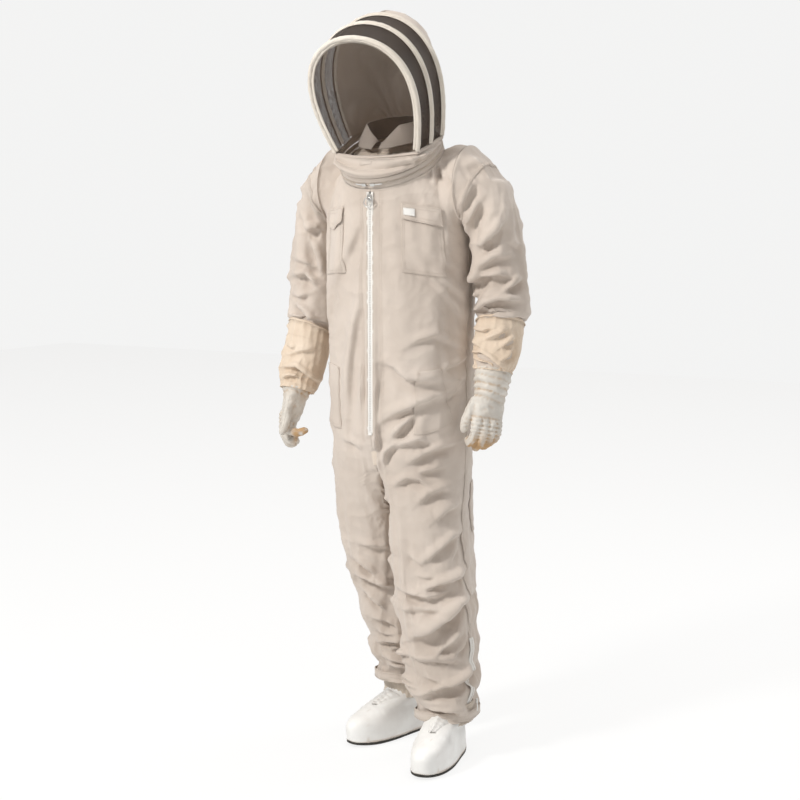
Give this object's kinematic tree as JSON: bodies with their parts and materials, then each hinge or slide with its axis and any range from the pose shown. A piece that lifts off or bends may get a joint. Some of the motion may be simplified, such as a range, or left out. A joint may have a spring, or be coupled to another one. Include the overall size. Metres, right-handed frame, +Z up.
{
  "type": "beekeeping suit",
  "caption": "Zipped full-length beekeeping coverall standing as if worn, with a hooped veil hood, gauntlet gloves and short boots.",
  "frame": {"origin": "on the ground under the middle of the whole suit, at the underside of the boot soles", "axes": "+Z up; the chest faces -Y; +X is the wearer's left"},
  "size_m": [0.696, 0.4299, 1.866],
  "materials": {
    "cotton": "washed cream cotton twill",
    "cotton_inside": "cotton twill, inner side and facings",
    "elastic": "gathered elastic in cotton",
    "zip_tape": "woven zip tape",
    "zip_plastic": "moulded acetal",
    "zip_metal": "plated die casting",
    "veil_mesh": "dark polyester netting",
    "hoop": "sprung hoop in a cotton sleeve",
    "gauntlet_cotton": "peach cotton canvas",
    "leather": "soft off-white goatskin",
    "boot": "smooth white leather",
    "sole": "moulded dark rubber",
    "label": "blank woven label"
  },
  "bodies": {
    "suit": {"front_panel_left": "cotton", "front_panel_right": "cotton", "back_panel": "cotton", "centre_seam_tape": "cotton_inside", "leg_front_left": "cotton", "leg_back_left": "cotton", "leg_front_right": "cotton", "leg_back_right": "cotton", "ankle_cuff_left": "elastic", "ankle_cuff_right": "elastic", "neck_facing": "cotton_inside", "collar_stand": "cotton", "collar_leaf_left": "cotton", "collar_leaf_right": "cotton", "chest_pocket_left": "cotton", "chest_pocket_right": "cotton", "hip_pocket_left": "cotton", "hip_pocket_right": "cotton", "tool_pocket": "cotton", "front_zip_tape_left": "zip_tape", "front_zip_tape_right": "zip_tape", "front_zip_teeth": "zip_plastic", "front_zip_stop": "zip_plastic", "neck_zip_lower_tape": "zip_tape", "neck_zip_teeth": "zip_plastic", "ankle_zip_left": "zip_tape", "ankle_zip_right": "zip_tape", "boot_upper_left": "boot", "boot_upper_right": "boot", "boot_sole_left": "sole", "boot_sole_right": "sole", "boot_tongue_left": "boot", "boot_tongue_right": "boot"},
    "hood": {"hood_back": "cotton", "hood_bib": "cotton", "bib_label": "label", "veil_front": "veil_mesh", "veil_middle": "veil_mesh", "veil_rear": "veil_mesh", "hoop_front": "hoop", "hoop_middle": "hoop", "hoop_rear": "hoop", "neck_zip_upper_tape": "zip_tape"},
    "front_zip": {"front_zip_slider": "zip_metal"},
    "zip_ring": {"front_zip_ring": "zip_metal"},
    "neck_zip_left": {"neck_zip_slider_left": "zip_metal"},
    "neck_zip_right": {"neck_zip_slider_right": "zip_metal"},
    "flap_left": {"pocket_flap_left": "cotton", "pocket_label": "label"},
    "flap_right": {"pocket_flap_right": "cotton"},
    "arm_left": {"sleeve_left": "cotton", "wrist_cuff_left": "elastic"},
    "arm_right": {"sleeve_right": "cotton", "wrist_cuff_right": "elastic"},
    "hand_left": {"gauntlet_left": "gauntlet_cotton", "glove_left": "leather"},
    "hand_right": {"gauntlet_right": "gauntlet_cotton", "glove_right": "leather"},
    "leg_zip_left": {"ankle_zip_slider_left": "zip_metal"},
    "leg_zip_right": {"ankle_zip_slider_right": "zip_metal"}
  },
  "joints": [
    {"name": "hood_tilt", "type": "hinge", "parent": "suit", "child": "hood", "pos_m": [0, 0.11052, 1.58182], "axis": [-1, 0, 0], "range_deg": [0, 84]},
    {"name": "front_zip_travel", "type": "slide", "parent": "suit", "child": "front_zip", "axis": [0, 0, -1], "range_m": [0, 0.57]},
    {"name": "ring_swing", "type": "hinge", "parent": "front_zip", "child": "zip_ring", "pos_m": [0, -0.1155, 1.41], "axis": [-1, 0, 0], "range_deg": [0, 120]},
    {"name": "neck_zip_left_travel", "type": "hinge", "parent": "suit", "child": "neck_zip_left", "pos_m": [0, -0.00142, 1.51187], "axis": [0, -0.5299, 0.848], "range_deg": [0, 150]},
    {"name": "neck_zip_right_travel", "type": "hinge", "parent": "suit", "child": "neck_zip_right", "pos_m": [0, -0.00142, 1.51187], "axis": [0, 0.5299, -0.848], "range_deg": [0, 150]},
    {"name": "flap_left_lift", "type": "hinge", "parent": "suit", "child": "flap_left", "pos_m": [0.13596, -0.08109, 1.379], "axis": [-0.8179, -0.5754, 0], "range_deg": [0, 110]},
    {"name": "flap_right_lift", "type": "hinge", "parent": "suit", "child": "flap_right", "pos_m": [-0.13766, -0.07982, 1.379], "axis": [-0.8164, 0.5775, 0], "range_deg": [0, 110]},
    {"name": "shoulder_left", "type": "hinge", "parent": "suit", "child": "arm_left", "pos_m": [0.1945, 0.056, 1.438], "axis": [-1, 0, 0], "range_deg": [-25, 45]},
    {"name": "shoulder_right", "type": "hinge", "parent": "suit", "child": "arm_right", "pos_m": [-0.1945, 0.056, 1.438], "axis": [-1, 0, 0], "range_deg": [-25, 45]},
    {"name": "glove_left_pull_off", "type": "slide", "parent": "arm_left", "child": "hand_left", "axis": [-0.0264, -0.2425, -0.9698], "range_m": [0, 0.2]},
    {"name": "glove_right_pull_off", "type": "slide", "parent": "arm_right", "child": "hand_right", "axis": [-0.0663, -0.3127, -0.9475], "range_m": [0, 0.2]},
    {"name": "leg_zip_left_travel", "type": "slide", "parent": "suit", "child": "leg_zip_left", "axis": [-0.025, 0.0375, 0.999], "range_m": [0, 0.14]},
    {"name": "leg_zip_right_travel", "type": "slide", "parent": "suit", "child": "leg_zip_right", "axis": [-0.1475, -0.1045, 0.9835], "range_m": [0, 0.14]}
  ]
}
